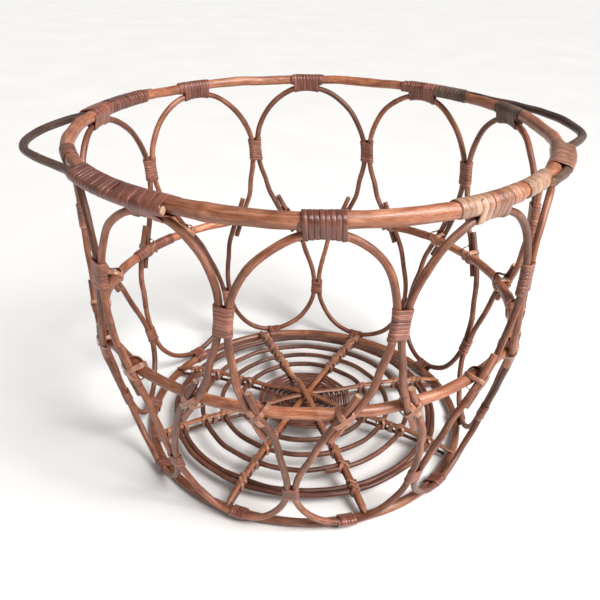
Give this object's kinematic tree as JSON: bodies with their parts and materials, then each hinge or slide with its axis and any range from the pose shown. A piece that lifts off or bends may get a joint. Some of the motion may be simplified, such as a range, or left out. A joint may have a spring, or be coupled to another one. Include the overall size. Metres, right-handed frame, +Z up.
{
  "type": "fruit basket",
  "caption": "Open round fruit basket of bent rattan: looped rods lashed between a rim pole and a base ring, with a mid hoop, a crowned spoked floor and side handles.",
  "frame": {"origin": "centre of the base ring on the surface the basket stands on", "axes": "+Z up; handles towards -X and +X; -Y is the front, +Y the back"},
  "size_m": [0.4644, 0.4134, 0.3117],
  "materials": {
    "pole": "satin lacquered rattan pole",
    "rod": "satin lacquered thin rattan",
    "floor_rod": "dark stained rattan core",
    "slat": "satin split rattan",
    "cane": "glossy flat binding cane"
  },
  "bodies": {
    "root": {"rim_pole": "pole", "base_ring": "pole", "mid_hoop_front": "pole", "mid_hoop_back": "pole", "handle_left": "pole", "handle_right": "pole", "upper_arch_1": "rod", "upper_arch_2": "rod", "upper_arch_3": "rod", "upper_arch_4": "rod", "upper_arch_5": "rod", "upper_arch_6": "rod", "upper_arch_7": "rod", "upper_arch_8": "rod", "upper_arch_9": "rod", "upper_arch_10": "rod", "lower_loop_1": "rod", "lower_loop_2": "rod", "lower_loop_3": "rod", "lower_loop_4": "rod", "lower_loop_5": "rod", "lower_loop_6": "rod", "lower_loop_7": "rod", "lower_loop_8": "rod", "lower_loop_9": "rod", "lower_loop_10": "rod", "floor_ring_1": "floor_rod", "floor_ring_2": "floor_rod", "floor_ring_3": "floor_rod", "floor_ring_4": "floor_rod", "floor_ring_5": "floor_rod", "floor_slat_1": "slat", "floor_slat_2": "slat", "floor_slat_3": "slat", "floor_slat_4": "slat", "floor_rod_1": "floor_rod", "floor_rod_2": "floor_rod", "floor_rod_3": "floor_rod", "floor_rod_4": "floor_rod", "woven_centre": "cane", "rim_lashing_1": "cane", "rim_lashing_2": "cane", "rim_lashing_3": "cane", "rim_lashing_4": "cane", "rim_lashing_5": "cane", "rim_lashing_6": "cane", "rim_lashing_7": "cane", "rim_lashing_8": "cane", "rim_lashing_9": "cane", "rim_lashing_10": "cane", "waist_lashing_1": "cane", "waist_lashing_2": "cane", "waist_lashing_3": "cane", "waist_lashing_4": "cane", "waist_lashing_5": "cane", "waist_lashing_6": "cane", "waist_lashing_7": "cane", "waist_lashing_8": "cane", "waist_lashing_9": "cane", "waist_lashing_10": "cane"}
  },
  "joints": []
}
